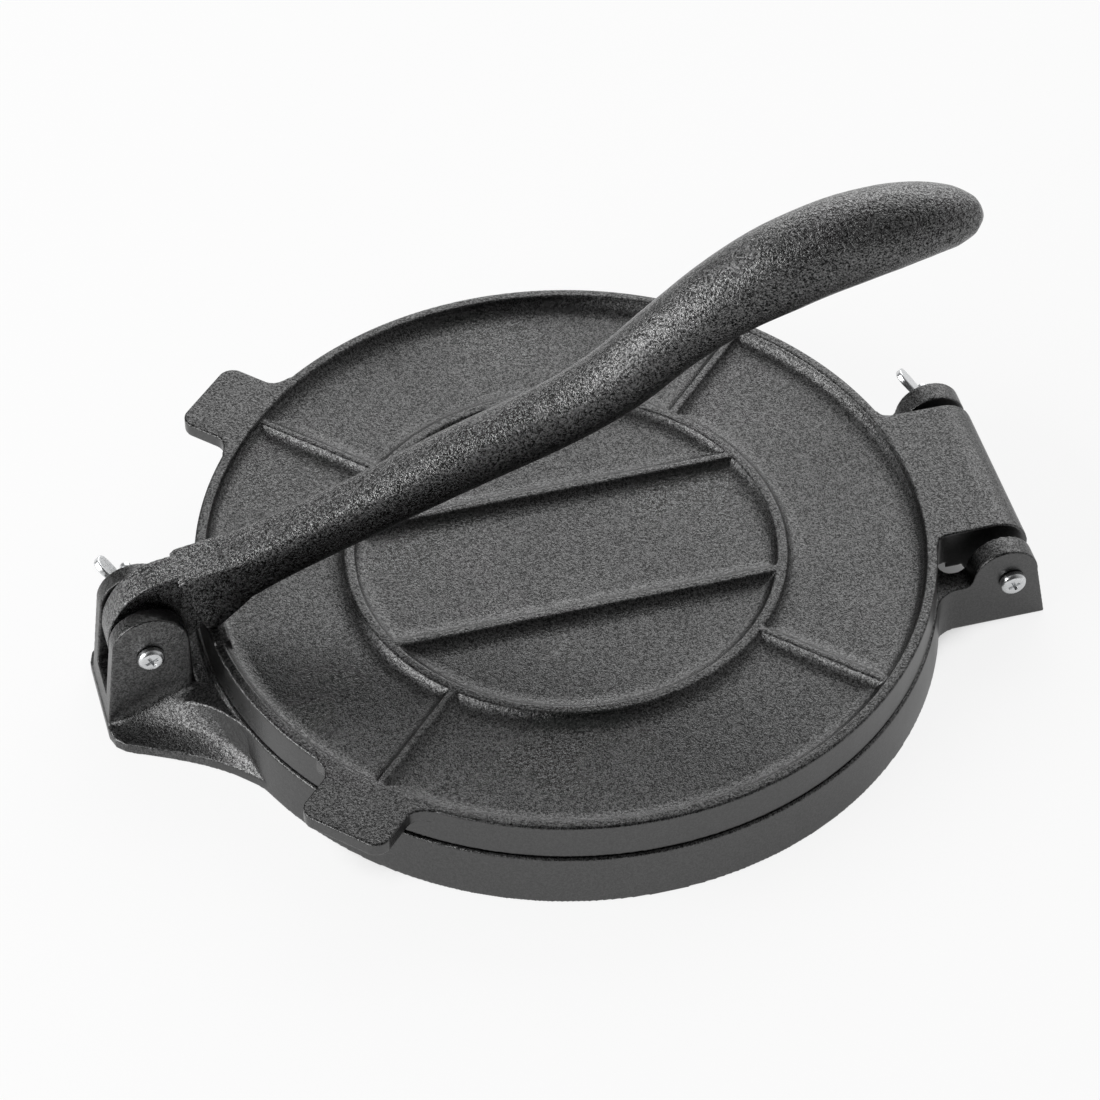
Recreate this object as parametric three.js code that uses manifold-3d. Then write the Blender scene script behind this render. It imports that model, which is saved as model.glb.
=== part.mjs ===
// Tortilla press in seasoned cast iron: a round base, a hinged upper plate and a pivoting lever,
// held together by two machine screws with wing nuts.
// Millimetres, +Z up. X runs from the lever pivot (-X) to the plate hinge (+X); the wing nuts are on +Y.
// The origin is the middle of the round base, on the table.
import * as THREE from 'three';
import { mergeVertices } from 'three/addons/utils/BufferGeometryUtils.js';
import Module from 'manifold-3d';

const wasm = await Module();
wasm.setup();

// Driving sizes
const plateRadius = 105;
const fitGap = 0.3;
const overlap = 0.1;
const overrun = 1;
const weldDistance = 0.0001;

// Base disc, its foot and its upper edge a little wider than the plate
const baseFootMargin = 1.7;
const baseTopMargin = 0.7;
const baseRadius = plateRadius + baseFootMargin;
const baseTopRadius = plateRadius + baseTopMargin;
const baseHeight = 16.5;
const baseEdgeRound = 0.6;
const baseWall = 5.2;
const baseDeck = 5.5;
const baseCavityDraft = 1;
const baseBossRadius = 12;
const baseRibLift = 5;
const baseRibWidth = 4;
const baseRingRadius = 60;

// Upper plate
const plateHeight = 11.5;
const plateDraft = 0.3;
const plateEdgeRound = 0.7;
const rimWidth = 3.2;
const recessDepth = 4;
const recessSlope = 5.5;
const ribHeight = 2.5;
const ribFlank = 5.2;
const ringRadius = 61.1;
const ringWidth = 2.6;
const barOffset = 23.2;
const barWidth = 2.2;
const spokeWidth = 1.9;
const spokeAngle = Math.PI / 4;

// Two lift tabs on the upper plate
const tabLength = 16.6;
const tabWidth = 26.4;
const tabThickness = 4.4;
const tabCornerRadius = 4.5;
const tabRootRadius = 5;
const tabReliefDepth = 3.4;
const tabReliefOverlap = 4;

// Raised pad under the lever's nose
const padHalfWidth = 12;
const padInset = 1.2;
const padLength = 4.6;
const padHeight = 0.8;

// Plate hinge: block on the plate, two brackets on the base
const hingeReach = 16.3;
const hingeDrop = 0.5;
const hingeSetback = 1.9;
const hingeBlockHalfWidth = 25;
const hingeBarrelRadius = 10.1;
const hingeBlockDrop = 1.9;
const hingeNotchRadius = 2.5;
const bracketInner = 28.8;
const bracketThickness = 6.7;
const bracketFootReach = 11;
const bracketArchRise = 1.7;
const bracketArchRadius = 9.7;
const bracketShoulderRadius = 2.6;
const bracketPlanRadius = 9;
const bracketInnerRadius = 3.4;

// Lever pivot: two ears on a platform of the base
const pivotReach = 16.6;
const pivotRise = 11.7;
const earInner = 6.3;
const earThickness = 5;
const earArchShift = 0.4;
const earArchRise = 2.8;
const earArchRadius = 10.9;
const earFootReach = 13.9;
const earToeReach = 11.8;
const slotDepth = 17.4;
const platformEndHalfWidth = 17.9;
const platformBand = 3.3;
const platformCornerRadius = 4.5;
const platformJoinAngle = THREE.MathUtils.degToRad(31.9);
const valleyEndHalfWidth = 13.1;
const valleyJoinAngle = THREE.MathUtils.degToRad(28.7);
const ridgeEndHalfWidth = 10.5;
const ridgeJoinAngle = THREE.MathUtils.degToRad(24.4);

// Lever
const knuckleHalfWidth = 4.4;
const knuckleRadius = 10.6;
const rootHalfWidth = 6.7;
const rootRise = 21.4;
const rootFrontReach = 10.1;
const rootFrontChamfer = 1.6;
const rootBackReach = 29.6;
const noseReach = 17;
const noseLength = 3.6;
const noseUnderAngle = THREE.MathUtils.degToRad(60);
const gripHalfWidth = 12.2;
const gripHalfHeight = 13.7;
const armStartReach = 20.6;
const armStartRise = 13.3;
const leverLength = 238.1;
const leverRise = 98.8;
const sectionSides = 32;
const leverSteps = 56;

// Screws and wing nuts, M4
const threadDiameter = 3.9;
const boreClearance = 0.35;
const boreDiameter = 4.6;
const headDiameter = 7.6;
const headHeight = 2.4;
const recessArmWidth = 1.1;
const recessSpan = 4.4;
const crossDepth = 1.3;
const crossTurnDegrees = 30;
const pivotScrewTail = 7.8;
const hingeScrewTail = 4.9;
const nutHubRadius = 4;
const nutHubTopRadius = 3.2;
const nutHubHeight = 5;
const nutWingSpan = 12.6;
const nutWingHeight = 10.4;
const nutWingThickness = 1.5;
const pivotNutTurn = THREE.MathUtils.degToRad(133);
const hingeNutTurn = THREE.MathUtils.degToRad(131);

// Fineness of round stretches
const roundSteps = 96;
const arcSteps = 10;
const smallRoundSteps = 32;
const quarterTurnDegrees = 90;

// Heights that follow from the sizes above
const plateUnderside = baseHeight + fitGap;
const plateTop = plateUnderside + plateHeight;
const recessFloor = plateTop - recessDepth;
const ribTop = recessFloor + ribHeight;
const padTop = plateTop + padHeight;
const noseZ = padTop + fitGap;

// Places of the plate hinge that follow
const hingeX = plateRadius + hingeReach;
const hingeZ = baseHeight - hingeDrop;
const hingeArchX = hingeX - hingeSetback;
const bracketOuter = bracketInner + bracketThickness;

// Places of the lever pivot and the lever that follow
const pivotX = -plateRadius - pivotReach;
const pivotZ = baseHeight + pivotRise;
const earOuter = earInner + earThickness;
const earArchX = pivotX + earArchShift;
const earArchZ = pivotZ + earArchRise;
const earFootX = pivotX - earFootReach;
const slotFloor = pivotZ - slotDepth;
const noseX = pivotX + noseReach;
const rootTopZ = pivotZ + rootRise;
const rootFrontX = pivotX + rootFrontReach;
const rootBackX = pivotX + rootBackReach;

// A closed geometry as a solid that can be joined and cut
function solid(geometry) {
  const plain = geometry.index ? geometry.toNonIndexed() : geometry.clone();
  plain.deleteAttribute('normal');
  plain.deleteAttribute('uv');
  const merged = mergeVertices(plain, weldDistance);
  const kept = [];
  const index = merged.index.array;
  for (let i = 0; i < index.length; i += 3) {
    const [a, b, c] = [index[i], index[i + 1], index[i + 2]];
    if (a !== b && b !== c && c !== a) kept.push(a, b, c);
  }
  return new wasm.Manifold(new wasm.Mesh({
    numProp: 3,
    vertProperties: new Float32Array(merged.attributes.position.array),
    triVerts: new Uint32Array(kept),
  }));
}

// A solid as a named mesh with its own finish
function piece(name, body, finish) {
  const data = body.getMesh();
  const geometry = new THREE.BufferGeometry();
  geometry.setAttribute('position', new THREE.BufferAttribute(data.vertProperties, 3));
  geometry.setIndex(new THREE.BufferAttribute(data.triVerts, 1));
  geometry.computeVertexNormals();
  const mesh = new THREE.Mesh(geometry, finish);
  mesh.name = name;
  return mesh;
}

// A plan outline raised from one height to another
function prismUp(outline, low, high) {
  const geometry = new THREE.ExtrudeGeometry(outline, {
    depth: high - low, bevelEnabled: false, curveSegments: arcSteps,
  });
  geometry.translate(0, 0, low);
  return solid(geometry);
}

// A side outline, drawn in X and Z, given a width along Y
function prismAcross(outline, near, far) {
  const geometry = new THREE.ExtrudeGeometry(outline, {
    depth: far - near, bevelEnabled: false, curveSegments: arcSteps,
  });
  geometry.rotateX(Math.PI / 2);
  geometry.translate(0, far, 0);
  return solid(geometry);
}

// A profile of radius and height turned round the Z axis
function turned(profile, steps = roundSteps) {
  const points = profile.map(([radius, height]) => new THREE.Vector2(radius, height));
  const geometry = new THREE.LatheGeometry(points, steps);
  geometry.rotateX(Math.PI / 2);
  return solid(geometry);
}

// A cylinder along Y
function rodAcross(x, z, radius, near, far, steps = smallRoundSteps) {
  const geometry = new THREE.CylinderGeometry(radius, radius, far - near, steps);
  geometry.translate(x, (near + far) / 2, z);
  return solid(geometry);
}

// A box between two corners
function block(low, high) {
  const geometry = new THREE.BoxGeometry(high.x - low.x, high.y - low.y, high.z - low.z);
  geometry.translate((low.x + high.x) / 2, (low.y + high.y) / 2, (low.z + high.z) / 2);
  return solid(geometry);
}

// A skin over rings with the same number of points each, closed at both ends
function skin(rings) {
  const count = rings[0].length;
  const points = rings.flat();
  const faces = [];
  for (let i = 0; i + 1 < rings.length; i += 1) {
    for (let j = 0; j < count; j += 1) {
      const a = i * count + j;
      const b = i * count + (j + 1) % count;
      faces.push(a, b, b + count, a, b + count, a + count);
    }
  }
  const ends = [[0, false], [(rings.length - 1) * count, true]];
  for (const [start, last] of ends) {
    const middle = new THREE.Vector3();
    for (let j = 0; j < count; j += 1) middle.addScaledVector(points[start + j], 1 / count);
    points.push(middle);
    for (let j = 0; j < count; j += 1) {
      const edge = [start + j, start + (j + 1) % count];
      faces.push(points.length - 1, ...(last ? edge : edge.reverse()));
    }
  }
  const geometry = new THREE.BufferGeometry().setFromPoints(points);
  geometry.setIndex(faces);
  return solid(geometry);
}

function mirrored(body) {
  return body.add(body.mirror([0, 1, 0]));
}

function outlineOf(points) {
  return new THREE.Shape(points.map(([x, y]) => new THREE.Vector2(x, y)));
}

function pointOnDisc(angle, height) {
  return new THREE.Vector3(-baseTopRadius * Math.cos(angle), -baseTopRadius * Math.sin(angle), height);
}

// A cubic curve whose two middle points are shares of the way from its start to its end,
// with its heights as shares of the base's height
function platformCurve(endHalfWidth, joinAngle, middleShares, heightShares) {
  const start = new THREE.Vector3(earFootX, -endHalfWidth, 0);
  const end = pointOnDisc(joinAngle, 0);
  const middles = middleShares.map(([along, out]) => new THREE.Vector3(
    THREE.MathUtils.lerp(start.x, end.x, along), THREE.MathUtils.lerp(start.y, end.y, out), 0));
  const points = [start, ...middles, end];
  points.forEach((point, i) => { point.z = heightShares[i] * baseHeight; });
  return new THREE.CubicBezierCurve3(...points);
}

// Platform under the lever's ears: a low band, a shallow valley and a ridge that climbs to the disc
const footMiddleShares = [[0.454, 0.264], [0.763, 0.405]];
const valleyMiddleShares = [[0.414, 0.096], [0.745, 0.274]];
const ridgeMiddleShares = [[0.445, -0.045], [0.776, 0.227]];
const valleyHeightShares = [0.22, 0.39, 0.52, 0.3];
const ridgeHeightShares = [0.23, 0.61, 1.03, 1];
const groundShares = [0, 0, 0, 0];
const platformSteps = 14;
const platformStepEase = 1.5;

function platform() {
  const foot = platformCurve(platformEndHalfWidth, platformJoinAngle, footMiddleShares, groundShares);
  const valley = platformCurve(valleyEndHalfWidth, valleyJoinAngle, valleyMiddleShares, valleyHeightShares);
  const ridge = platformCurve(ridgeEndHalfWidth, ridgeJoinAngle, ridgeMiddleShares, ridgeHeightShares);
  const rings = [];
  for (let i = 0; i <= platformSteps; i += 1) {
    const t = (i / platformSteps) ** platformStepEase;
    const toe = foot.getPoint(t).setZ(-overrun);
    // The two outer corners of the platform are rounded
    const inset = Math.max(0, platformCornerRadius - (toe.x - earFootX));
    toe.y += platformCornerRadius - Math.sqrt(platformCornerRadius ** 2 - inset ** 2);
    const band = toe.clone().setZ(platformBand);
    const crest = ridge.getPoint(t);
    crest.z = Math.min(crest.z, baseHeight) - overlap;
    const near = [toe, band, valley.getPoint(t), crest];
    const far = near.map((point) => new THREE.Vector3(point.x, -point.y, point.z)).reverse();
    rings.push([...near, ...far].reverse());
  }
  const core = prismAcross(outlineOf([
    [earFootX, -overrun], [-baseTopRadius, -overrun], [-baseTopRadius, slotFloor],
    [earEdgeX(slotFloor), slotFloor], [earFootX, 0],
  ]), -earOuter, earOuter);
  return skin(rings).add(core);
}

// The ears' outer edge leans in from the table to the start of the arch
function earEdgeX(height) {
  const archStart = earArchX - earArchRadius;
  return THREE.MathUtils.lerp(earFootX, archStart, height / earArchZ);
}

function ears() {
  const outline = new THREE.Shape();
  outline.moveTo(earFootX, 0);
  outline.lineTo(earFootX, -overrun);
  outline.lineTo(pivotX + earToeReach, -overrun);
  outline.lineTo(earArchX + earArchRadius, earArchZ);
  outline.absarc(earArchX, earArchZ, earArchRadius, 0, Math.PI, false);
  return mirrored(prismAcross(outline, -earOuter, -earInner));
}

// Plate hinge brackets, each blended into the disc's side by a rounded corner
function brackets() {
  const sunk = Math.sqrt(baseTopRadius ** 2 - bracketOuter ** 2) - baseWall;
  const archLeft = hingeArchX - bracketArchRadius;
  const footX = hingeX + bracketFootReach;
  const archZ = hingeZ + bracketArchRise;
  const outline = new THREE.Shape();
  outline.moveTo(sunk, -overrun);
  outline.lineTo(footX, -overrun);
  outline.lineTo(footX, 0);
  outline.lineTo(hingeArchX + bracketArchRadius, archZ);
  outline.absarc(hingeArchX, archZ, bracketArchRadius, 0, Math.PI, false);
  outline.lineTo(archLeft, baseHeight - overlap);
  outline.lineTo(sunk, baseHeight - overlap);
  const arm = prismAcross(outline, -bracketOuter, -bracketInner);

  const reach = Math.sqrt((baseTopRadius + bracketPlanRadius) ** 2 - (bracketOuter + bracketPlanRadius) ** 2);
  const middle = new THREE.Vector2(reach, -bracketOuter - bracketPlanRadius);
  const touch = middle.clone().setLength(baseTopRadius - overlap);
  const blend = new THREE.Shape();
  blend.moveTo(sunk, -bracketOuter + overlap);
  blend.lineTo(touch.x - baseWall, touch.y);
  blend.lineTo(touch.x, touch.y);
  const startAngle = Math.atan2(touch.y - middle.y, touch.x - middle.x);
  blend.absarc(middle.x, middle.y, bracketPlanRadius, startAngle, Math.PI / 2, true);
  blend.lineTo(middle.x, -bracketOuter + overlap);
  const corner = prismUp(blend, -overrun, baseHeight - overlap);

  // Smaller rounded corner between the arm's inner face and the disc
  const inset = bracketInner - bracketInnerRadius;
  const innerReach = Math.sqrt((baseTopRadius + bracketInnerRadius) ** 2 - inset ** 2);
  const innerMiddle = new THREE.Vector2(innerReach, -inset);
  const innerTouch = innerMiddle.clone().setLength(baseTopRadius - overlap);
  const web = new THREE.Shape();
  web.moveTo(sunk, -bracketInner - overlap);
  web.lineTo(innerMiddle.x, -bracketInner - overlap);
  const innerTurn = Math.atan2(innerTouch.y - innerMiddle.y, innerTouch.x - innerMiddle.x);
  web.absarc(innerMiddle.x, innerMiddle.y, bracketInnerRadius, -Math.PI / 2, innerTurn, true);
  web.lineTo(innerTouch.x - overlap, innerTouch.y);
  web.lineTo(sunk, innerTouch.y);
  const innerCorner = prismUp(web, -overrun, baseHeight - overlap);

  // Small hollow where the arch rises from the shoulder
  const fillet = new THREE.Shape();
  const shoulderZ = baseHeight - overlap;
  fillet.moveTo(archLeft + overlap, shoulderZ - overlap);
  fillet.lineTo(archLeft + overlap, shoulderZ + bracketShoulderRadius);
  fillet.lineTo(archLeft, shoulderZ + bracketShoulderRadius);
  fillet.absarc(archLeft - bracketShoulderRadius, shoulderZ + bracketShoulderRadius,
    bracketShoulderRadius, 0, -Math.PI / 2, true);
  fillet.lineTo(archLeft - bracketShoulderRadius, shoulderZ - overlap);
  const hollow = prismAcross(fillet, -bracketOuter, -bracketInner);
  return mirrored(arm.add(corner).add(innerCorner).add(hollow));
}

function radialBars(width, inner, outer, low, high, angles) {
  return angles.map((angle) => block(
    new THREE.Vector3(inner, -width / 2, low), new THREE.Vector3(outer, width / 2, high),
  ).rotate([0, 0, THREE.MathUtils.radToDeg(angle)]));
}

const spokeAngles = [spokeAngle, Math.PI - spokeAngle, Math.PI + spokeAngle, -spokeAngle];

// The base is hollow underneath: a wall, a ribbed deck and a middle boss that stands on the table
function base() {
  let body = turned([
    [0, -overrun], [baseRadius, -overrun], [baseRadius, 0], [baseTopRadius, baseHeight - baseEdgeRound],
    [baseTopRadius - baseEdgeRound, baseHeight], [0, baseHeight],
  ]);
  body = body.add(platform()).add(ears()).add(brackets());
  const deckUnderside = baseHeight - baseDeck;
  const wallInner = baseRadius - baseWall;
  const hollow = turned([
    [baseBossRadius, -2 * overrun], [wallInner, -2 * overrun], [wallInner, 0],
    [wallInner - baseCavityDraft, deckUnderside], [baseBossRadius, deckUnderside],
    [baseBossRadius, -2 * overrun],
  ]);
  body = body.subtract(hollow);
  const ribLow = baseRibLift;
  const ribHigh = deckUnderside + overlap;
  const innerRing = baseRingRadius - baseRibWidth / 2;
  const outerRing = baseRingRadius + baseRibWidth / 2;
  body = body.add(turned([
    [innerRing, ribLow], [outerRing, ribLow], [outerRing, ribHigh], [innerRing, ribHigh], [innerRing, ribLow],
  ]));
  const spokes = radialBars(baseRibWidth, baseBossRadius - overrun, wallInner, ribLow, ribHigh, spokeAngles);
  for (const spoke of spokes) body = body.add(spoke);
  // Everything stands on one flat plane, the table
  const reach = new THREE.Vector2(earFootX, hingeX + bracketFootReach).length();
  body = body.subtract(block(
    new THREE.Vector3(-reach, -reach, -3 * overrun), new THREE.Vector3(reach, reach, 0)));
  const boreRadius = boreDiameter / 2;
  for (const [x, z, outer] of [[pivotX, pivotZ, earOuter], [hingeX, hingeZ, bracketOuter]]) {
    body = body.subtract(rodAcross(x, z, boreRadius, -outer - overrun, outer + overrun));
  }
  return body;
}

// Hollow flank of a rib and hollow foot of the rim, as shares of run and rise from the upper edge down
const flankShares = [[0, 1], [0.13, 0.6], [0.38, 0.26], [0.69, 0.08], [1, 0]];

// Flank points from an upper edge outwards (1) or inwards (-1)
function flank(edge, side, run, rise) {
  return flankShares.map(([out, up]) => [edge + side * out * run, recessFloor + up * rise]);
}

// A rib with hollow flanks along X, centred on the axis
function slopedRib(topWidth, from, to) {
  const half = topWidth / 2;
  const foot = half + ribFlank;
  const outline = outlineOf([
    [-foot, recessFloor - overlap], [foot, recessFloor - overlap],
    ...flank(half, 1, ribFlank, ribHeight).reverse(), ...flank(-half, -1, ribFlank, ribHeight),
  ]);
  const geometry = new THREE.ExtrudeGeometry(outline, { depth: to - from, bevelEnabled: false });
  geometry.rotateX(Math.PI / 2);
  geometry.rotateZ(Math.PI / 2);
  geometry.translate(from, 0, 0);
  return solid(geometry);
}

// The plate's round recess, which pieces added to the rim must leave free
function recessSpace() {
  const radius = plateRadius - rimWidth;
  return turned([
    [0, recessFloor], [radius, recessFloor], [radius, plateTop + overrun], [0, plateTop + overrun],
  ]);
}

// Lift tab along +X, flush with the rim, with rounded corners and rounded roots
function liftTab() {
  const half = tabWidth / 2;
  const rootX = Math.sqrt(plateRadius ** 2 - (half + tabRootRadius) ** 2);
  const cornerX = plateRadius + tabLength - tabCornerRadius;
  const sunk = plateRadius - rimWidth;
  const tab = new THREE.Shape();
  tab.moveTo(sunk, -half);
  tab.lineTo(rootX - tabRootRadius, -half - tabRootRadius);
  tab.lineTo(rootX, -half - tabRootRadius);
  tab.quadraticCurveTo(rootX + tabRootRadius / 3, -half, rootX + tabRootRadius, -half);
  tab.lineTo(cornerX, -half);
  tab.absarc(cornerX, -half + tabCornerRadius, tabCornerRadius, -Math.PI / 2, 0, false);
  tab.absarc(cornerX, half - tabCornerRadius, tabCornerRadius, 0, Math.PI / 2, false);
  tab.lineTo(rootX + tabRootRadius, half);
  tab.quadraticCurveTo(rootX + tabRootRadius / 3, half, rootX, half + tabRootRadius);
  tab.lineTo(rootX - tabRootRadius, half + tabRootRadius);
  tab.lineTo(sunk, half);
  return prismUp(tab, plateTop - tabThickness, plateTop).subtract(recessSpace());
}

// Hollow in the plate's side under a tab, where fingers lift it
function tabRelief() {
  const half = tabWidth / 2 + tabReliefOverlap;
  const inner = plateRadius - tabReliefDepth;
  const outline = new THREE.Shape();
  outline.moveTo(plateRadius + overrun, -half);
  outline.lineTo(plateRadius + overrun, half);
  outline.lineTo(Math.sqrt(plateRadius ** 2 - half ** 2), half);
  outline.quadraticCurveTo(inner, half, inner, half - tabReliefOverlap - tabRootRadius);
  outline.lineTo(inner, -half + tabReliefOverlap + tabRootRadius);
  outline.quadraticCurveTo(inner, -half, Math.sqrt(plateRadius ** 2 - half ** 2), -half);
  return prismUp(outline, plateUnderside - overrun, plateTop - tabThickness);
}

// Block on the plate that turns on the hinge screw, with rounded corners where it leaves the plate
function hingeBlock() {
  const barrelZ = plateTop - hingeBarrelRadius;
  const underside = baseHeight - hingeBlockDrop;
  const barrel = new THREE.Shape();
  barrel.moveTo(plateRadius - rimWidth, plateTop);
  barrel.lineTo(plateRadius - rimWidth, underside);
  barrel.lineTo(hingeArchX - hingeBarrelRadius, underside);
  barrel.absarc(hingeArchX, barrelZ, hingeBarrelRadius, Math.PI, Math.PI / 2, false);
  const body = prismAcross(barrel, -hingeBlockHalfWidth, hingeBlockHalfWidth);
  const clearRadius = baseRadius + fitGap + overrun;
  const baseSpace = turned([
    [0, 0], [clearRadius, 0], [clearRadius, plateUnderside], [0, plateUnderside],
  ]);

  const reach = hingeBlockHalfWidth + hingeNotchRadius;
  const edgeX = Math.sqrt(plateRadius ** 2 - reach ** 2);
  const cornerX = edgeX + hingeNotchRadius * 2;
  const web = new THREE.Shape();
  web.moveTo(edgeX - rimWidth, -reach);
  web.lineTo(edgeX, -reach);
  web.quadraticCurveTo(edgeX + overlap, -hingeBlockHalfWidth, cornerX, -hingeBlockHalfWidth);
  web.lineTo(cornerX, 0);
  web.lineTo(edgeX - rimWidth, 0);
  const corners = mirrored(prismUp(web, plateUnderside, plateTop));
  const end = hingeBlockHalfWidth + overrun;
  const bore = rodAcross(hingeX, hingeZ, boreDiameter / 2, -end, end);
  return body.subtract(baseSpace).add(corners).subtract(recessSpace()).subtract(bore);
}

function upperPlate() {
  const rimInner = plateRadius - rimWidth;
  const ringIn = ringRadius - ringWidth / 2;
  const ringOut = ringRadius + ringWidth / 2;
  let body = turned([
    [0, plateUnderside], [plateRadius, plateUnderside], [plateRadius - plateDraft, plateTop - plateEdgeRound],
    [plateRadius - plateDraft - plateEdgeRound, plateTop], ...flank(rimInner, -1, recessSlope, recessDepth),
    ...flank(ringOut, 1, ribFlank, ribHeight).reverse(), ...flank(ringIn, -1, ribFlank, ribHeight),
    [0, recessFloor],
  ]);
  for (const side of [-1, 1]) {
    const barEnd = Math.sqrt(ringRadius ** 2 - barOffset ** 2);
    body = body.add(slopedRib(barWidth, -barEnd, barEnd).translate([0, side * barOffset, 0]));
  }
  for (const angle of spokeAngles) {
    const degrees = THREE.MathUtils.radToDeg(angle);
    body = body.add(slopedRib(spokeWidth, ringRadius, rimInner).rotate([0, 0, degrees]));
  }
  for (const angle of [Math.PI - spokeAngle, Math.PI + spokeAngle]) {
    const degrees = THREE.MathUtils.radToDeg(angle);
    body = body.subtract(tabRelief().rotate([0, 0, degrees]));
    body = body.add(liftTab().rotate([0, 0, degrees]));
  }
  const padOuter = plateRadius - padInset;
  const pad = block(
    new THREE.Vector3(-padOuter, -padHalfWidth, plateTop - overrun),
    new THREE.Vector3(-padOuter + padLength, padHalfWidth, padTop));
  const padSlope = block(
    new THREE.Vector3(-padOuter + fitGap, -padHalfWidth, plateTop - recessDepth),
    new THREE.Vector3(-padOuter + padLength + fitGap, padHalfWidth, plateTop - overrun));
  return body.add(pad).add(padSlope).add(hingeBlock());
}

// Knuckle between the ears: round at the pivot, rising to the lever's root and down to its nose
const knuckleRiseShares = [[0.06, 0.31], [0.27, 0.67], [0.62, 0.92]];

function knuckle() {
  const outline = new THREE.Shape();
  const riseStart = new THREE.Vector2(pivotX - knuckleRadius, pivotZ);
  const riseEnd = new THREE.Vector2(rootFrontX, rootTopZ);
  outline.moveTo(noseX + noseLength, noseZ);
  outline.lineTo(noseX, noseZ);
  outline.absarc(pivotX, pivotZ, knuckleRadius, -noseUnderAngle, -Math.PI, true);
  outline.splineThru([...knuckleRiseShares.map(([across, up]) => new THREE.Vector2(
    THREE.MathUtils.lerp(riseStart.x, riseEnd.x, across),
    THREE.MathUtils.lerp(riseStart.y, riseEnd.y, up))), riseEnd]);
  outline.lineTo(noseX + noseLength, rootTopZ);
  return prismAcross(outline, -knuckleHalfWidth, knuckleHalfWidth);
}

// Root of the lever: a block with a shoulder on each side and the nose that presses on the pad.
// Its underside and back are shares of the way from the nose's heel to the block's upper back corner
const rootUnderShares = [[0.2, 0.08], [0.93, 0.38], [1, 0.41], [1, 1.14]];

function root() {
  const outline = new THREE.Shape();
  const heelX = noseX + noseLength;
  outline.moveTo(rootFrontX + rootFrontChamfer, rootTopZ);
  outline.lineTo(rootFrontX, rootTopZ - rootFrontChamfer);
  outline.lineTo(noseX, noseZ);
  outline.lineTo(heelX, noseZ);
  for (const [along, up] of rootUnderShares) {
    outline.lineTo(THREE.MathUtils.lerp(heelX, rootBackX, along), THREE.MathUtils.lerp(noseZ, rootTopZ, up));
  }
  return prismAcross(outline, -rootHalfWidth, rootHalfWidth);
}

// Stations of the arm: along from start to tip, up from start to top, half-width and half-height
// as shares of the grip's, and the squareness of the section
const armStationShares = [
  [0.000, 0.000, 0.55, 0.62, 6.0],
  [0.080, 0.088, 0.57, 0.58, 4.0],
  [0.190, 0.195, 0.60, 0.58, 3.0],
  [0.313, 0.324, 0.66, 0.65, 2.5],
  [0.464, 0.469, 0.71, 0.70, 2.2],
  [0.533, 0.570, 0.78, 0.74, 2.0],
  [0.602, 0.715, 0.84, 0.75, 2.0],
  [0.671, 0.836, 0.91, 0.85, 2.0],
  [0.740, 0.918, 0.97, 0.96, 2.0],
  [0.809, 0.973, 0.99, 0.96, 2.0],
  [0.878, 1.002, 0.97, 0.86, 2.0],
  [0.924, 1.007, 0.88, 0.73, 2.0],
  [0.961, 0.998, 0.72, 0.59, 2.0],
  [0.986, 0.986, 0.47, 0.39, 2.0],
  [0.998, 0.977, 0.17, 0.14, 2.0],
];

function arm() {
  const path = new THREE.CatmullRomCurve3(armStationShares.map(([along, up]) => new THREE.Vector3(
    pivotX + THREE.MathUtils.lerp(armStartReach, leverLength, along), 0,
    pivotZ + THREE.MathUtils.lerp(armStartRise, leverRise, up))));
  const sizes = new THREE.CatmullRomCurve3(armStationShares.map(([, , wide, high, square]) => (
    new THREE.Vector3(wide * gripHalfWidth, high * gripHalfHeight, square))));
  const rings = [];
  for (let i = 0; i <= leverSteps; i += 1) {
    const t = i / leverSteps;
    const centre = path.getPoint(t);
    const tangent = path.getTangent(t);
    const size = sizes.getPoint(t);
    const upward = new THREE.Vector3(-tangent.z, 0, tangent.x);
    const ring = [];
    for (let j = 0; j < sectionSides; j += 1) {
      const angle = (2 * Math.PI * j) / sectionSides;
      const across = Math.sign(Math.cos(angle)) * Math.abs(Math.cos(angle)) ** (2 / size.z) * size.x;
      const up = Math.sign(Math.sin(angle)) * Math.abs(Math.sin(angle)) ** (2 / size.z) * size.y;
      ring.push(centre.clone().addScaledVector(upward, up).add(new THREE.Vector3(0, across, 0)));
    }
    rings.push(ring);
  }
  return skin(rings);
}

function lever() {
  const bore = rodAcross(pivotX, pivotZ, boreDiameter / 2, -knuckleHalfWidth - overrun,
    knuckleHalfWidth + overrun);
  return knuckle().add(root()).add(arm()).subtract(bore);
}

// Profile of a pan head, as shares of its radius and height
const headProfileShares = [[0, 0], [1, 0], [1, 0.4], [0.86, 0.75], [0.6, 0.95], [0, 1]];

// Pan-head screw along +Y with a cross recess, its head seated at the near face and its end past the nut
function screw(x, z, outerFace, tail) {
  const face = -outerFace - fitGap;
  const end = outerFace + fitGap + nutHubHeight + tail;
  const profile = headProfileShares.map(([out, up]) => [out * headDiameter / 2, up * headHeight]);
  let head = turned(profile, smallRoundSteps);
  for (const [wide, deep] of [[recessSpan, recessArmWidth], [recessArmWidth, recessSpan]]) {
    head = head.subtract(block(
      new THREE.Vector3(-wide / 2, -deep / 2, headHeight - crossDepth),
      new THREE.Vector3(wide / 2, deep / 2, headHeight + overrun)));
  }
  head = head.rotate([quarterTurnDegrees, crossTurnDegrees, 0]).translate([x, face, z]);
  return head.add(rodAcross(x, z, threadDiameter / 2, face - overlap, end));
}

// Outline of a wing, as shares of its span and height: its foot, then bends with their ends
const wingFootShares = [[0.32, 0.08], [0.75, 0.34]];
const wingBendShares = [[1, 0.48, 1, 0.69], [0.92, 1, 0.75, 1], [0.41, 0.8, 0.25, 0.43]];
const hubEdgeShare = 0.33;

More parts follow.
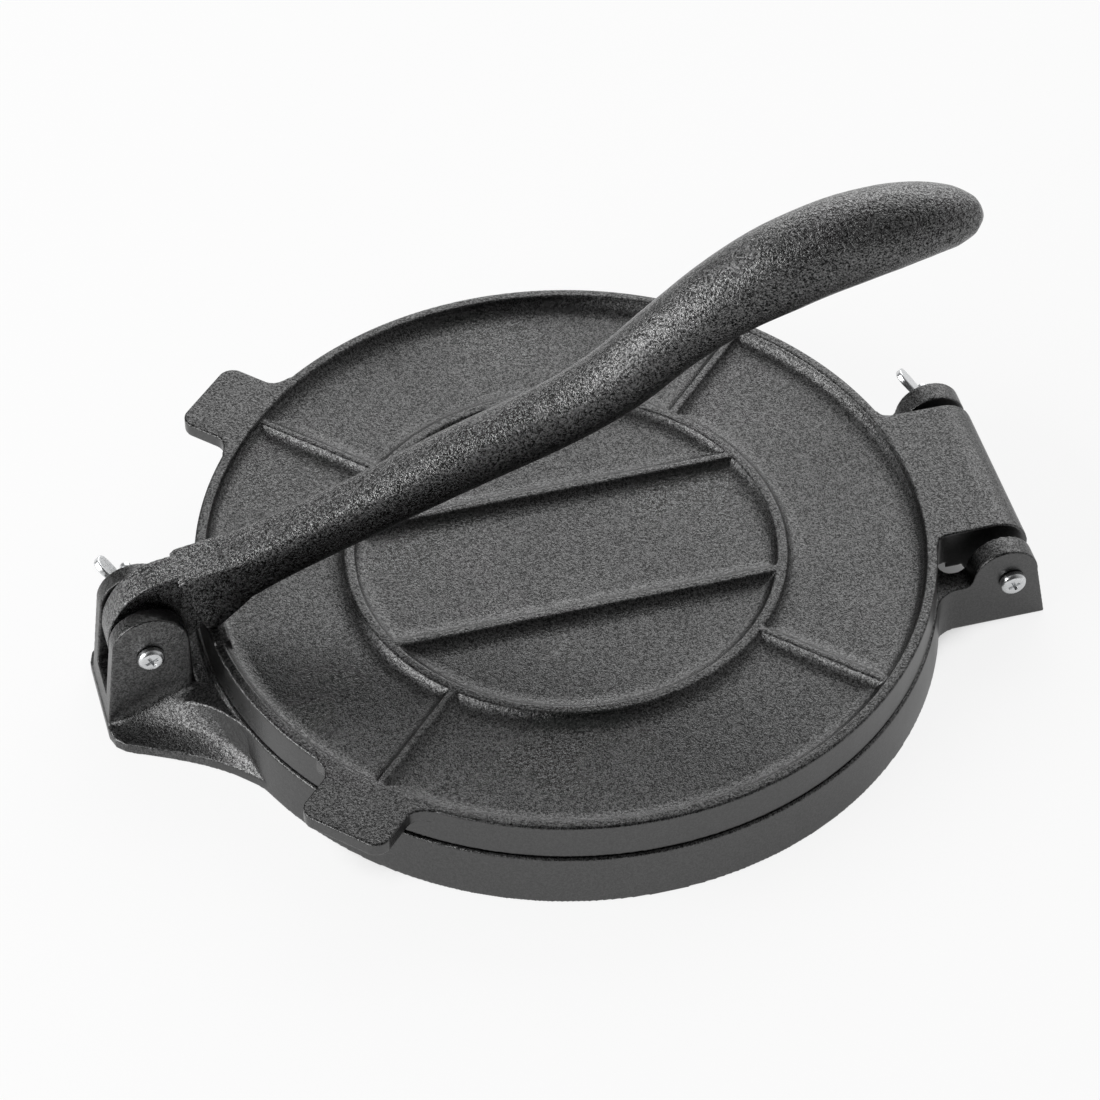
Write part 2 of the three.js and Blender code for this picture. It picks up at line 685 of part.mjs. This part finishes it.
// Wing nut along +Y, its hub seated at the far face
function wingNut(x, z, outerFace, turn) {
  const hub = turned([
    [0, 0], [nutHubRadius, 0], [nutHubRadius, nutHubHeight * hubEdgeShare],
    [nutHubTopRadius, nutHubHeight], [0, nutHubHeight],
  ], smallRoundSteps);
  const wing = new THREE.Shape();
  const [foot] = wingFootShares;
  wing.moveTo(0, foot[1] * nutWingHeight);
  for (const [out, up] of wingFootShares) wing.lineTo(out * nutWingSpan, up * nutWingHeight);
  for (const [bendOut, bendUp, out, up] of wingBendShares) {
    wing.quadraticCurveTo(
      bendOut * nutWingSpan, bendUp * nutWingHeight, out * nutWingSpan, up * nutWingHeight);
  }
  wing.lineTo(0, wing.currentPoint.y);
  const blade = prismAcross(wing, -nutWingThickness / 2, nutWingThickness / 2);
  const boreRadius = threadDiameter / 2 + boreClearance;
  const bore = turned([
    [0, -overrun], [boreRadius, -overrun], [boreRadius, nutWingHeight], [0, nutWingHeight],
  ], smallRoundSteps);
  const nut = hub.add(blade).add(blade.mirror([1, 0, 0])).subtract(bore);
  return nut.rotate([-quarterTurnDegrees, 0, 0]).rotate([0, -THREE.MathUtils.radToDeg(turn), 0])
    .translate([x, outerFace + fitGap, z]);
}

function iron(shade) {
  return new THREE.MeshStandardMaterial({ color: shade, roughness: 0.5, metalness: 0.35 });
}

function zinc() {
  return new THREE.MeshStandardMaterial({ color: '#c9cbce', roughness: 0.25, metalness: 1 });
}

const press = new THREE.Group();
press.name = 'tortilla_press';
press.add(
  piece('base', base(), iron('#3a3b3c')),
  piece('upper_plate', upperPlate(), iron('#3d3e3f')),
  piece('lever', lever(), iron('#38393a')),
  piece('lever_pivot_bolt', screw(pivotX, pivotZ, earOuter, pivotScrewTail), zinc()),
  piece('lever_wing_nut', wingNut(pivotX, pivotZ, earOuter, pivotNutTurn), zinc()),
  piece('hinge_bolt', screw(hingeX, hingeZ, bracketOuter, hingeScrewTail), zinc()),
  piece('hinge_wing_nut', wingNut(hingeX, hingeZ, bracketOuter, hingeNutTurn), zinc()),
);

export default press;
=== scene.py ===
# Tortilla press in seasoned cast iron, dressed over its packed construction model
import math
import bmesh
import bpy
from mathutils import Matrix, Vector


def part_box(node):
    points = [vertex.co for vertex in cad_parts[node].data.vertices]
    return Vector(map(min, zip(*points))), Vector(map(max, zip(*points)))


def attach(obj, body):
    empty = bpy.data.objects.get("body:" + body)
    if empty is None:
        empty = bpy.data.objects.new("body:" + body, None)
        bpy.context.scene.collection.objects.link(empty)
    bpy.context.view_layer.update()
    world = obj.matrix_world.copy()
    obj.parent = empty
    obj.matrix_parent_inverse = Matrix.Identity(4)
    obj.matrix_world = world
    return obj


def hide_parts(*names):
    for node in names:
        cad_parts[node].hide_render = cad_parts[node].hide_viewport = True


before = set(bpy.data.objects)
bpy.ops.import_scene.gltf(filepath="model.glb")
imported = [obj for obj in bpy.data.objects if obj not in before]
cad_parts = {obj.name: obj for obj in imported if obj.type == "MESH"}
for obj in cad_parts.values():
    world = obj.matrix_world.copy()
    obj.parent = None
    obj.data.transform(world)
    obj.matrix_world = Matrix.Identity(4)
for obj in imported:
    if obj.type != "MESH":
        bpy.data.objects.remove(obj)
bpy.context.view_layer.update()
mm = 0.001
scene = bpy.context.scene

# Camera at the photograph's angle, in degrees and millimetres; reach is where its view ends, in metres
view = {
    "azimuth": -15.16,
    "elevation": 46.475,
    "target": (-2.94, 6.27, 20.0),
    "distance": 1258.9,
    "lens": 145.11,
    "sensor": 36.0,
    "reach": 20.0,
}


def setCamera():
    azimuth = math.radians(view["azimuth"])
    elevation = math.radians(view["elevation"])
    away = Vector((
        math.sin(azimuth) * math.cos(elevation),
        -math.cos(azimuth) * math.cos(elevation),
        math.sin(elevation),
    ))
    lens = bpy.data.cameras.new("photoCamera")
    lens.lens = view["lens"]
    lens.sensor_width = view["sensor"]
    lens.clip_end = view["reach"]
    camera = bpy.data.objects.new("photoCamera", lens)
    camera.location = (Vector(view["target"]) + away * view["distance"]) * mm
    camera.rotation_euler = (-away).to_track_quat("-Z", "Y").to_euler()
    scene.collection.objects.link(camera)
    scene.camera = camera


setCamera()
print("camera set")


# A node with values for its inputs or settings
def addNode(tree, kind, place=(0, 0), **values):
    node = tree.nodes.new(kind)
    node.location = place
    for name, value in values.items():
        if name in node.inputs:
            node.inputs[name].default_value = value
        else:
            setattr(node, name, value)
    return node


def mapRange(tree, place, fromLow, fromHigh, toLow, toHigh):
    node = addNode(tree, "ShaderNodeMapRange", place)
    for name, value in (("From Min", fromLow), ("From Max", fromHigh), ("To Min", toLow), ("To Max", toHigh)):
        node.inputs[name].default_value = value
    return node


def addMath(tree, place, operation, second=None):
    node = addNode(tree, "ShaderNodeMath", place, operation=operation)
    if second is not None:
        node.inputs[1].default_value = second
    return node


# Soft boxes: bearing from the back (left is minus) and height in degrees, distance and size in metres
softBoxes = {
    "leftBox": {"bearing": -99, "rise": 23, "distance": 1.8, "size": (1.9, 1.05), "glow": 6.0},
    "backBox": {"bearing": 24, "rise": 28, "distance": 2.0, "size": (2.3, 1.85), "glow": 2.15},
    "topBox": {"bearing": -78, "rise": 62, "distance": 2.0, "size": (1.2, 1.0), "glow": 0.4},
}


def setLights():
    for name, box in softBoxes.items():
        bearing, rise = math.radians(box["bearing"]), math.radians(box["rise"])
        towards = Vector((
            math.sin(bearing) * math.cos(rise),
            math.cos(bearing) * math.cos(rise),
            math.sin(rise),
        ))
        wide, high = box["size"]
        lamp = bpy.data.lights.new(name, "AREA")
        lamp.shape = "RECTANGLE"
        lamp.size, lamp.size_y = wide, high
        lamp.energy = box["glow"] * math.pi * wide * high
        light = bpy.data.objects.new(name, lamp)
        light.location = towards * box["distance"]
        light.rotation_euler = (-towards).to_track_quat("-Z", "Y").to_euler()
        light.visible_camera = False
        scene.collection.objects.link(light)


# Room light by direction, dim at one end of each axis: dark behind the camera, some from the back and right
room = {
    "depth": {"axis": "Y", "from": -0.5, "to": 0.7, "dim": 0.03, "lit": 0.26},
    "side": {"axis": "X", "from": 0.2, "to": 0.9, "dim": 0.0, "lit": 0.45},
    "height": {"axis": "Z", "from": 0.3, "to": 1.0, "dim": 0.0, "lit": 0.03},
}


# The camera itself sees plain white instead of the room
def setWorld():
    world = bpy.data.worlds.new("room")
    world.use_nodes = True
    scene.world = world
    tree = world.node_tree
    tree.nodes.clear()
    link = tree.links.new
    place = addNode(tree, "ShaderNodeTexCoord", (-1000, 0))
    split = addNode(tree, "ShaderNodeSeparateXYZ", (-800, 0))
    link(place.outputs["Generated"], split.inputs[0])
    levels = []
    for side in room.values():
        level = mapRange(tree, (-600, 0), side["from"], side["to"], side["dim"], side["lit"])
        link(split.outputs[side["axis"]], level.inputs["Value"])
        levels.append(level.outputs["Result"])
    total = levels[0]
    for level in levels[1:]:
        both = addMath(tree, (-400, 0), "ADD")
        link(total, both.inputs[0])
        link(level, both.inputs[1])
        total = both.outputs[0]
    soft = addNode(tree, "ShaderNodeBackground", (-200, 0), Color=(1, 1, 1, 1))
    white = addNode(tree, "ShaderNodeBackground", (-200, -150), Color=(1, 1, 1, 1), Strength=1.0)
    rays = addNode(tree, "ShaderNodeLightPath", (-200, 300))
    mix = addNode(tree, "ShaderNodeMixShader", (50, 0))
    out = addNode(tree, "ShaderNodeOutputWorld", (250, 0))
    link(total, soft.inputs["Strength"])
    link(rays.outputs["Is Camera Ray"], mix.inputs[0])
    link(soft.outputs[0], mix.inputs[1])
    link(white.outputs[0], mix.inputs[2])
    link(mix.outputs[0], out.inputs[0])


# Pale table: nearly white for the camera, half so in mirror images, with painted shade in deep narrow gaps
table = {"halfSize": 3.0, "shade": 0.86, "whiteShare": 0.87, "mirrorShare": 0.5,
         "gapReach": 0.03, "gapDeep": 0.2, "gapOpen": 0.45, "gapLeast": 0.1}


def makeTablePaint():
    paint = bpy.data.materials.new("paleTable")
    paint.use_nodes = True
    tree = paint.node_tree
    tree.nodes.clear()
    matt = addNode(tree, "ShaderNodeBsdfDiffuse", (-300, 0), Color=(table["shade"],) * 3 + (1,))
    glow = addNode(tree, "ShaderNodeEmission", (-300, -150), Color=(1, 1, 1, 1), Strength=1.0)
    rays = addNode(tree, "ShaderNodeLightPath", (-700, 300))
    # Painted shade: an ambient-occlusion mask takes the white glow away in deep narrow gaps, darkening the
    # floor there
    shelter = addNode(tree, "ShaderNodeAmbientOcclusion", (-1100, 200), Distance=table["gapReach"])
    openness = mapRange(tree, (-900, 200), table["gapDeep"], table["gapOpen"], table["gapLeast"], 1.0)
    seen = addMath(tree, (-500, 300), "MULTIPLY")
    share = addMath(tree, (-300, 250), "MULTIPLY", table["whiteShare"])
    mirror = addMath(tree, (-300, 450), "MULTIPLY_ADD", table["mirrorShare"])
    mix = addNode(tree, "ShaderNodeMixShader", (0, 0))
    out = addNode(tree, "ShaderNodeOutputMaterial", (200, 0))
    link = tree.links.new
    link(shelter.outputs["AO"], openness.inputs["Value"])
    link(openness.outputs["Result"], seen.inputs[0])
    link(rays.outputs["Is Camera Ray"], seen.inputs[1])
    link(seen.outputs[0], share.inputs[0])
    link(rays.outputs["Is Glossy Ray"], mirror.inputs[0])
    link(share.outputs[0], mirror.inputs[2])
    link(mirror.outputs[0], mix.inputs[0])
    link(matt.outputs[0], mix.inputs[1])
    link(glow.outputs[0], mix.inputs[2])
    link(mix.outputs[0], out.inputs[0])
    return paint


def setFloor():
    shape = bmesh.new()
    bmesh.ops.create_grid(shape, x_segments=1, y_segments=1, size=table["halfSize"])
    mesh = bpy.data.meshes.new("floor")
    shape.to_mesh(mesh)
    shape.free()
    floor = bpy.data.objects.new("floor", mesh)
    scene.collection.objects.link(floor)
    mesh.materials.append(makeTablePaint())


setLights()
setWorld()
setFloor()
print("light and floor set")


# Sand-cast skin: two sizes of grain and a slow cloudiness, shared by the three castings
def makeCastGrain():
    tree = bpy.data.node_groups.new("castGrain", "ShaderNodeTree")
    socket = tree.interface.new_socket
    for name, value in (("Grain Scale", 2600.0), ("Coarse Scale", 1300.0), ("Coarse Share", 0.45)):
        socket(name=name, in_out="INPUT", socket_type="NodeSocketFloat").default_value = value
    socket(name="Height", in_out="OUTPUT", socket_type="NodeSocketFloat")
    socket(name="Cloud", in_out="OUTPUT", socket_type="NodeSocketFloat")
    start = addNode(tree, "NodeGroupInput", (-900, 0))
    end = addNode(tree, "NodeGroupOutput", (500, 0))
    place = addNode(tree, "ShaderNodeTexCoord", (-900, 300))
    fine = addNode(tree, "ShaderNodeTexNoise", (-600, 200), Detail=3.0, Roughness=0.6)
    coarse = addNode(tree, "ShaderNodeTexNoise", (-600, -50), Detail=2.0, Roughness=0.5)
    cloud = addNode(tree, "ShaderNodeTexNoise", (-600, -300), Scale=28.0, Detail=3.0)
    mix = addNode(tree, "ShaderNodeMix", (0, 100), data_type="FLOAT")
    link = tree.links.new
    for texture in (fine, coarse, cloud):
        link(place.outputs["Object"], texture.inputs["Vector"])
    link(start.outputs["Grain Scale"], fine.inputs["Scale"])
    link(start.outputs["Coarse Scale"], coarse.inputs["Scale"])
    link(start.outputs["Coarse Share"], mix.inputs["Factor"])
    link(fine.outputs["Fac"], mix.inputs["A"])
    link(coarse.outputs["Fac"], mix.inputs["B"])
    link(mix.outputs["Result"], end.inputs["Height"])
    link(cloud.outputs["Fac"], end.inputs["Cloud"])
    return tree


castGrain = makeCastGrain()

# Shade is the mean tone of the tops; wallPaintedTone, that of upright walls, is painted light by facing
# (shade on the lever);
# speckle is how far grains differ; wallShare is what walls keep of grain and bump, apart from the end beyond
# roughEnd (metres along X)
ironFinishes = {
    "base_iron": {
        "shade": 0.08, "wallPaintedTone": 0.114, "speckle": 0.7, "metal": 1.0, "roughness": 0.28,
        "grain": 2600.0, "coarse": 1300.0, "coarseShare": 0.45, "depth": 0.2, "wallShare": 0.25,
        "roughEnd": -0.109,
    },
    "plate_iron": {
        "shade": 0.08, "wallPaintedTone": 0.112, "speckle": 0.7, "metal": 1.0, "roughness": 0.28,
        "grain": 2600.0, "coarse": 1300.0, "coarseShare": 0.45, "depth": 0.2, "wallShare": 0.2,
        "roughEnd": -1.0,
    },
    "lever_iron": {
        "shade": 0.14, "wallPaintedTone": 0.11, "speckle": 0.85, "metal": 1.0, "roughness": 0.24,
        "grain": 2500.0, "coarse": 1250.0, "coarseShare": 0.5, "depth": 0.4, "wallShare": 0.9,
        "roughEnd": -1.0,
    },
}

# Ranges shared by the irons: upward part of the normal, grain height, cloudiness and its effect on roughness
castSkin = {"wall": 0.1, "top": 0.45, "lowGrain": 0.4, "highGrain": 0.62, "lowCloud": 0.3, "highCloud": 0.7,
            "smoother": 0.06, "rougher": 0.08, "endFade": 0.003}


def makeIron(name, finish):
    paint = bpy.data.materials.new(name)
    paint.use_nodes = True
    tree = paint.node_tree
    skin = tree.nodes["Principled BSDF"]
    skin.inputs["Metallic"].default_value = finish["metal"]
    link = tree.links.new
    grain = addNode(tree, "ShaderNodeGroup", (-1100, 0))
    grain.node_tree = castGrain
    grain.inputs["Grain Scale"].default_value = finish["grain"]
    grain.inputs["Coarse Scale"].default_value = finish["coarse"]
    grain.inputs["Coarse Share"].default_value = finish["coarseShare"]
    # Upright walls are dressed smoother than the tops, apart from the rough end by the ears
    place = addNode(tree, "ShaderNodeTexCoord", (-1300, -400))
    facing = addNode(tree, "ShaderNodeSeparateXYZ", (-1100, -400))
    upward = addMath(tree, (-900, -400), "ABSOLUTE")
    dressed = mapRange(tree, (-700, -400), castSkin["wall"], castSkin["top"], finish["wallShare"], 1.0)
    end = addNode(tree, "ShaderNodeSeparateXYZ", (-1100, -600))
    near = mapRange(tree, (-900, -600), finish["roughEnd"], finish["roughEnd"] - castSkin["endFade"],
                    0.0, 1.0)
    share = addMath(tree, (-500, -500), "MAXIMUM")
    link(place.outputs["Normal"], facing.inputs[0])
    link(facing.outputs["Z"], upward.inputs[0])
    link(upward.outputs[0], dressed.inputs["Value"])
    link(place.outputs["Object"], end.inputs[0])
    link(end.outputs["X"], near.inputs["Value"])
    link(dressed.outputs["Result"], share.inputs[0])
    link(near.outputs["Result"], share.inputs[1])
    # Tone: painted light or shade by facing, from tops to upright walls, with each grain a share darker or
    # lighter
    facingPaintedTone = mapRange(tree, (-700, 400), castSkin["wall"], castSkin["top"],
                      finish["wallPaintedTone"], finish["shade"])
    spots = mapRange(tree, (-900, 200), castSkin["lowGrain"], castSkin["highGrain"],
                     -finish["speckle"], finish["speckle"])
    strength = addMath(tree, (-700, 200), "MULTIPLY")
    tone = addMath(tree, (-500, 200), "MULTIPLY_ADD", finish["shade"])
    link(upward.outputs[0], facingPaintedTone.inputs["Value"])
    link(grain.outputs["Height"], spots.inputs["Value"])
    link(spots.outputs["Result"], strength.inputs[0])
    link(share.outputs[0], strength.inputs[1])
    link(strength.outputs[0], tone.inputs[0])
    link(facingPaintedTone.outputs["Result"], tone.inputs[2])
    link(tone.outputs[0], skin.inputs["Base Color"])
    sheen = mapRange(tree, (-500, -50), castSkin["lowCloud"], castSkin["highCloud"],
                     finish["roughness"] - castSkin["smoother"], finish["roughness"] + castSkin["rougher"])
    link(grain.outputs["Cloud"], sheen.inputs["Value"])
    link(sheen.outputs["Result"], skin.inputs["Roughness"])
    bump = addNode(tree, "ShaderNodeBump", (-300, -300), Distance=finish["depth"] * mm)
    link(share.outputs[0], bump.inputs["Strength"])
    link(grain.outputs["Height"], bump.inputs["Height"])
    link(bump.outputs["Normal"], skin.inputs["Normal"])
    return paint


zincFinish = {"colour": (0.72, 0.73, 0.74, 1), "metal": 1.0, "cloud": 600.0, "smooth": 0.18, "dull": 0.36,
              "strength": 0.15, "depth": 0.1}


def makeZinc():
    paint = bpy.data.materials.new("zinc_steel")
    paint.use_nodes = True
    tree = paint.node_tree
    skin = tree.nodes["Principled BSDF"]
    skin.inputs["Base Color"].default_value = zincFinish["colour"]
    skin.inputs["Metallic"].default_value = zincFinish["metal"]
    place = addNode(tree, "ShaderNodeTexCoord", (-900, 0))
    cloud = addNode(tree, "ShaderNodeTexNoise", (-700, 0), Scale=zincFinish["cloud"], Detail=3.0)
    sheen = mapRange(tree, (-450, 0), 0.0, 1.0, zincFinish["smooth"], zincFinish["dull"])
    bump = addNode(tree, "ShaderNodeBump", (-300, -300), Strength=zincFinish["strength"],
                   Distance=zincFinish["depth"] * mm)
    link = tree.links.new
    link(place.outputs["Object"], cloud.inputs["Vector"])
    link(cloud.outputs["Fac"], sheen.inputs["Value"])
    link(sheen.outputs["Result"], skin.inputs["Roughness"])
    link(cloud.outputs["Fac"], bump.inputs["Height"])
    link(bump.outputs["Normal"], skin.inputs["Normal"])
    return paint


irons = {name: makeIron(name, finish) for name, finish in ironFinishes.items()}
zinc = makeZinc()
print("finishes made")


# Skinning in small squares and smoothing, shared by castings and wing nuts; weld in millimetres
skinning = {"weld": 0.001, "smooth": 0.5, "quickGrowth": 1.8}


# The piece with its modifiers turned into mesh
def applied(piece):
    bpy.context.view_layer.update()
    graph = bpy.context.evaluated_depsgraph_get()
    mesh = bpy.data.meshes.new_from_object(piece.evaluated_get(graph))
    piece.modifiers.clear()
    piece.data = mesh
    return piece


def newPiece(name, shape):
    mesh = bpy.data.meshes.new(name)
    shape.to_mesh(mesh)
    shape.free()
    piece = bpy.data.objects.new(name, mesh)
    scene.collection.objects.link(piece)
    return piece


def addSmoothing(piece, passes):
    soften = piece.modifiers.new("soften", "SMOOTH")
    soften.factor = skinning["smooth"]
    soften.iterations = passes
    return soften


def addSkin(piece, square):
    skin = piece.modifiers.new("skin", "REMESH")
    skin.mode = "VOXEL"
    skin.voxel_size = square * mm


def weldedCopy(node):
    shape = bmesh.new()
    shape.from_mesh(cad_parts[node].data)
    bmesh.ops.remove_doubles(shape, verts=shape.verts, dist=skinning["weld"] * mm)
    return shape


def arcPoints(centre, radius, start, end, steps):
    turns = [math.radians(start + (end - start) * i / steps) for i in range(steps + 1)]
    return [(centre[0] + radius * math.cos(turn), centre[1] + radius * math.sin(turn)) for turn in turns]


# A profile of radius and height in millimetres, turned round Z
def spinProfile(profile, steps):
    shape = bmesh.new()
    points = [shape.verts.new((radius * mm, 0, height * mm)) for radius, height in profile]
    edges = [shape.edges.new(pair) for pair in zip(points, points[1:])]
    bmesh.ops.spin(shape, geom=points + edges, cent=(0, 0, 0), axis=(0, 0, 1), angle=2 * math.pi,
                   steps=steps, use_merge=True)
    bmesh.ops.remove_doubles(shape, verts=shape.verts, dist=skinning["weld"] * mm)
    bmesh.ops.recalc_face_normals(shape, faces=shape.faces)
    return shape


def addShape(shape, other):
    mesh = bpy.data.meshes.new("joined")
    other.to_mesh(mesh)
    other.free()
    shape.from_mesh(mesh)
    bpy.data.meshes.remove(mesh)


# Round walls of the two discs, finer than the construction model's; the cover hides that one's flat facets
baseDisc = {
    "foot": 106.7, "top": 105.7, "height": 16.5, "deck": 11.0, "wallFoot": 101.5, "wallTop": 100.5,
    "round": 0.6,
}
plateDisc = {
    "foot": 105.0, "top": 104.7, "under": 16.8, "face": 28.3, "rim": 101.8, "floor": 24.3, "round": 0.6,
    "coveRun": 5.5, "ringIn": 59.8, "ringOut": 62.4, "ribTop": 26.8, "flankRun": 5.2, "cover": 0.07,
}
flankShares = [(0, 1), (0.05, 0.8), (0.13, 0.6), (0.24, 0.42), (0.38, 0.26), (0.53, 0.15), (0.69, 0.08),
               (0.85, 0.025), (1, 0)]
discSteps = 256


# Hollow flank from an upper edge outwards (1) or inwards (-1)
def flankPoints(edge, side, run, rise, floor):
    return [(edge + side * out * run, floor + up * rise) for out, up in flankShares]


def roundEdge(radius, height, size):
    return arcPoints((radius - size, height - size), size, 0, 90, 4)


def baseWalls():
    disc = baseDisc
    return spinProfile([
        (disc["foot"], 0), *roundEdge(disc["top"], disc["height"], disc["round"]),
        (0, disc["height"]), (0, disc["deck"]), (disc["wallTop"], disc["deck"]), (disc["wallFoot"], 0),
        (disc["foot"], 0),
    ], discSteps)


def plateWalls():
    disc = plateDisc
    rise, cove = disc["ribTop"] - disc["floor"], disc["face"] - disc["floor"]
    return spinProfile([
        (0, disc["under"]), (disc["foot"], disc["under"]),
        *roundEdge(disc["top"], disc["face"], disc["round"]),
        *flankPoints(disc["rim"] - disc["cover"], -1, disc["coveRun"], cove, disc["floor"]),
        *flankPoints(disc["ringOut"], 1, disc["flankRun"], rise, disc["floor"])[::-1],
        *flankPoints(disc["ringIn"] - disc["cover"], -1, disc["flankRun"], rise, disc["floor"]),
        (0, disc["floor"]),
    ], discSteps)


def finishPiece(piece, paint, body, node):
    piece.data.materials.clear()
    piece.data.materials.append(paint)
    for face in piece.data.polygons:
        face.use_smooth = True
    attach(piece, body)
    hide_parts(node)


# The ears run into the platform through a soft hollow: extra smoothing there, fading to the left edge
earFoot = {"left": -134.0, "full": -131.0, "right": -107.5, "near": 10.4, "far": 16.0, "low": 2.6,
           "high": 15.0, "passes": 240}


def softenEarFeet(piece):
    group = piece.vertex_groups.new(name="earFoot")
    for vert in piece.data.vertices:
        x, y, z = vert.co / mm
        inside = earFoot["near"] < abs(y) < earFoot["far"] and earFoot["low"] < z < earFoot["high"]
        if inside and earFoot["left"] < x < earFoot["right"]:
            share = min(1.0, (x - earFoot["left"]) / (earFoot["full"] - earFoot["left"]))
            group.add([vert.index], share, "REPLACE")
    addSmoothing(piece, earFoot["passes"]).vertex_group = group.name
    applied(piece)
    piece.vertex_groups.clear()


# A casting from its node: welded, joined with its finer walls, skinned in small squares (millimetres) and
# smoothed, as sand casting rounds it, then thinned to at most this many triangles
castings = {
    "base": {"slot": "base_iron", "walls": baseWalls, "hollows": softenEarFeet, "square": 0.36, "passes": 3,
             "most": 195000},
    "upper_plate": {"slot": "plate_iron", "walls": plateWalls, "hollows": None, "square": 0.36, "passes": 3,
                    "most": 195000},
    "lever": {"slot": "lever_iron", "walls": None, "hollows": None, "square": 0.36, "passes": 3,
              "most": 160000},
}


def makeCasting(node, plan):
    shape = weldedCopy(node)
    if plan["walls"]:
        addShape(shape, plan["walls"]())
    piece = newPiece(node + "_casting", shape)
    addSkin(piece, plan["square"] * (1))
    addSmoothing(piece, plan["passes"])
    applied(piece)
    if plan["hollows"]:
        plan["hollows"](piece)
    triangles = sum(len(face.vertices) - 2 for face in piece.data.polygons)
    if triangles > plan["most"]:
        thin = piece.modifiers.new("thin", "DECIMATE")
        thin.ratio = plan["most"] / triangles
        applied(piece)
    finishPiece(piece, irons[plan["slot"]], node, node)
    print(node, "cast, from", triangles, "triangles")


for node, plan in castings.items():
    makeCasting(node, plan)

# Pan-head M4 machine screw, modelled along Z with its head on top and the thread below, in millimetres and
# degrees; what ends in Share is a share of the head's height or radius, or of the pitch
screw = {"headRadius": 3.8, "headHeight": 2.4, "headRound": 0.15, "edgeRound": 0.12, "sharpAngle": 35.0,
         "bandShare": 0.42, "crownShare": 0.62, "topShare": 0.5, "shoulderShare": 0.985, "domeShare": 0.56,
         "shank": 1.6, "crest": 1.95, "pitch": 0.7, "crestHalf": 0.06, "rootShare": 0.46, "overlap": 0.1,
         "tipRound": 0.5, "seat": 0.2, "crossSpan": 5.2, "crossWidth": 1.35, "crossDepth": 1.7,
         "crossTaper": 0.45, "turn": 24.0, "steps": 48, "threadSteps": 20}


def crossArm(quarter):
    arm = bmesh.new()
    span, width, deep = screw["crossSpan"], screw["crossWidth"], screw["crossDepth"]
    bmesh.ops.create_cube(arm, size=1.0)
    bmesh.ops.scale(arm, vec=(span * mm, width * mm, 2 * deep * mm), verts=arm.verts)
    low = [vert for vert in arm.verts if vert.co.z < 0]
    bmesh.ops.scale(arm, vec=(screw["crossTaper"], screw["crossTaper"], 1), verts=low)
    bmesh.ops.rotate(arm, matrix=Matrix.Rotation(math.radians(quarter), 3, "Z"), verts=arm.verts)
    bmesh.ops.translate(arm, vec=(0, 0, screw["headHeight"] * mm), verts=arm.verts)
    return newPiece("crossArm", arm)


def screwHead():
    high, wide = screw["headHeight"], screw["headRadius"]
    crown, band = wide * screw["crownShare"], high * screw["bandShare"]
    head = spinProfile([
        (0, 0), (wide - screw["headRound"], 0), (wide, screw["headRound"]), (wide, band),
        *arcPoints((crown, band), wide - crown, 12, 78, 6),
        (crown * screw["topShare"], high * screw["shoulderShare"]), (0, high),
    ], screw["steps"])
    for vert in head.verts:    # flatten the dome to the head's height
        if vert.co.z > band * mm:
            share = (vert.co.z / mm - band) / (wide - crown)
            vert.co.z = (band + min(share, 1.0) * high * screw["domeShare"]) * mm
    piece = newPiece("screwHead", head)
    for quarter in (0, 90):
        cutter = crossArm(quarter)
        cut = piece.modifiers.new("cross", "BOOLEAN")
        cut.operation = "DIFFERENCE"
        cut.object = cutter
        applied(piece)
        bpy.data.objects.remove(cutter)
    edges = piece.modifiers.new("edges", "BEVEL")
    edges.width = screw["edgeRound"] * mm
    edges.segments = 2
    edges.limit_method = "ANGLE"
    edges.angle_limit = math.radians(screw["sharpAngle"])
    return applied(piece)


def screwThread(length):
    core = spinProfile([
        (0, screw["seat"]), (screw["shank"], screw["seat"]), (screw["shank"], screw["tipRound"] - length),
        (screw["shank"] - screw["tipRound"], -length), (0, -length),
    ], screw["steps"])
    turns = int((length - 2 * screw["tipRound"]) / screw["pitch"])
    ridge = bmesh.new()
    half, crest = screw["pitch"] * screw["rootShare"], screw["crestHalf"]
    root = screw["shank"] - screw["overlap"]
    corners = [ridge.verts.new((radius * mm, 0, height * mm)) for radius, height in (
        (root, -half), (screw["crest"], -crest), (screw["crest"], crest), (root, half))]
    face = ridge.faces.new(corners)
    steps = turns * screw["threadSteps"]
    bmesh.ops.spin(ridge, geom=[face], cent=(0, 0, 0), axis=(0, 0, 1), angle=turns * 2 * math.pi,
                   steps=steps, dvec=(0, 0, -screw["pitch"] / screw["threadSteps"] * mm))
    bmesh.ops.translate(ridge, vec=(0, 0, -half * mm), verts=ridge.verts)
    bmesh.ops.recalc_face_normals(ridge, faces=ridge.faces)
    addShape(core, ridge)
    return core


def makeScrew(node):
    low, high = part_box(node)
    shape = screwThread((high.y - low.y) / mm - screw["headHeight"])
    head = screwHead()
    shape.from_mesh(head.data)
    bpy.data.objects.remove(head)
    turn = Matrix.Rotation(math.radians(90), 4, "X") @ Matrix.Rotation(math.radians(screw["turn"]), 4, "Z")
    centre = Vector(((low.x + high.x) / 2, low.y + screw["headHeight"] * mm, (low.z + high.z) / 2))
    bmesh.ops.transform(shape, matrix=Matrix.Translation(centre) @ turn, verts=shape.verts)
    piece = newPiece(node + "_threaded", shape)
    finishPiece(piece, zinc, "base", node)
    piece.data.set_sharp_from_angle(angle=math.radians(screw["sharpAngle"]))


# Wing nut: the node skinned finely, softened and swollen a little, in millimetres
wingNut = {"square": 0.17, "passes": 2, "swell": 0.2}


def makeWingNut(node):
    piece = newPiece(node + "_wings", weldedCopy(node))
    addSkin(piece, wingNut["square"])
    addSmoothing(piece, wingNut["passes"])
    swell = piece.modifiers.new("swell", "DISPLACE")
    swell.strength = wingNut["swell"] * mm
    swell.mid_level = 0
    applied(piece)
    finishPiece(piece, zinc, "base", node)


for node in ("lever_pivot_bolt", "hinge_bolt"):
    makeScrew(node)
for node in ("lever_wing_nut", "hinge_wing_nut"):
    makeWingNut(node)
print("screws and wing nuts made")

scene.view_settings.view_transform = "Standard"
